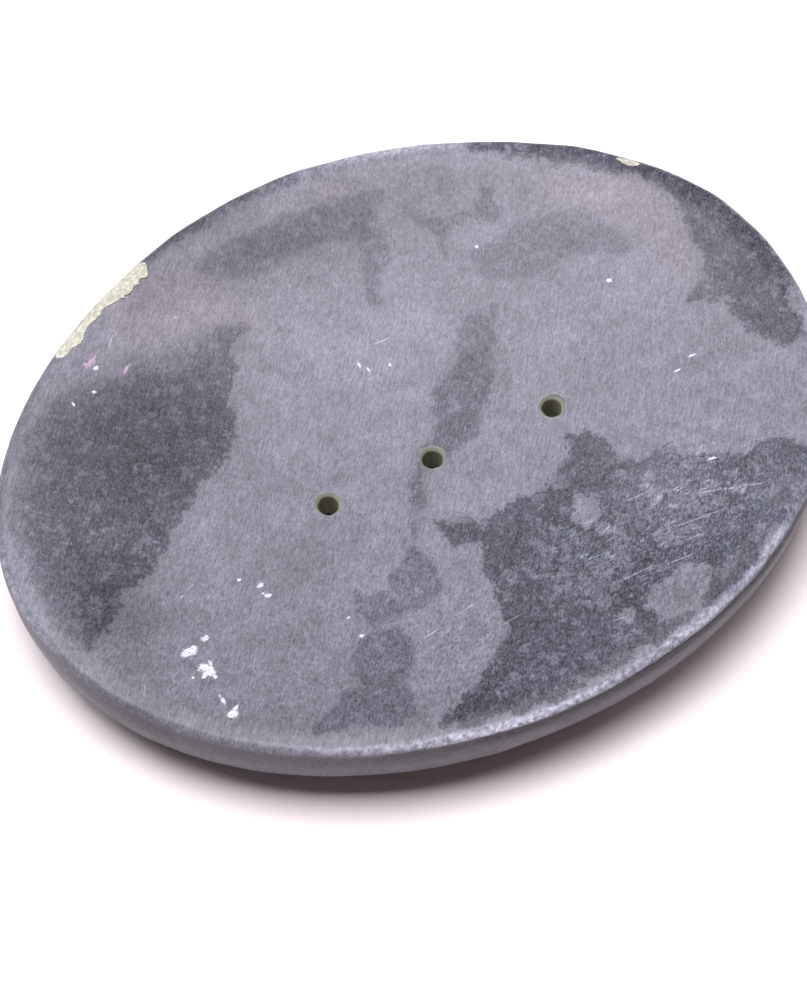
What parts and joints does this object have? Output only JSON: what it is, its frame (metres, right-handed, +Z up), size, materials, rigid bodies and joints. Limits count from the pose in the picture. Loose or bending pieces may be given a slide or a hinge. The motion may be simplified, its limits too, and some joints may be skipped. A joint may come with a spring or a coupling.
{
  "type": "soap dish",
  "caption": "Oval carved stone soap dish with a shallow basin, drain holes in a row along it and small rubber feet underneath.",
  "frame": {"origin": "on the surface the dish stands on, under the middle of the oval", "axes": "+X along the oval's long axis and the row of drain holes, +Y across it towards the back, +Z up"},
  "size_m": [0.1456, 0.1146, 0.0175],
  "materials": {
    "soapstone": "honed, unpolished",
    "rubber": "matte"
  },
  "bodies": {
    "root": {"dish_body": "soapstone", "foot_front_left": "rubber", "foot_front_right": "rubber", "foot_back_left": "rubber", "foot_back_right": "rubber"}
  },
  "joints": []
}
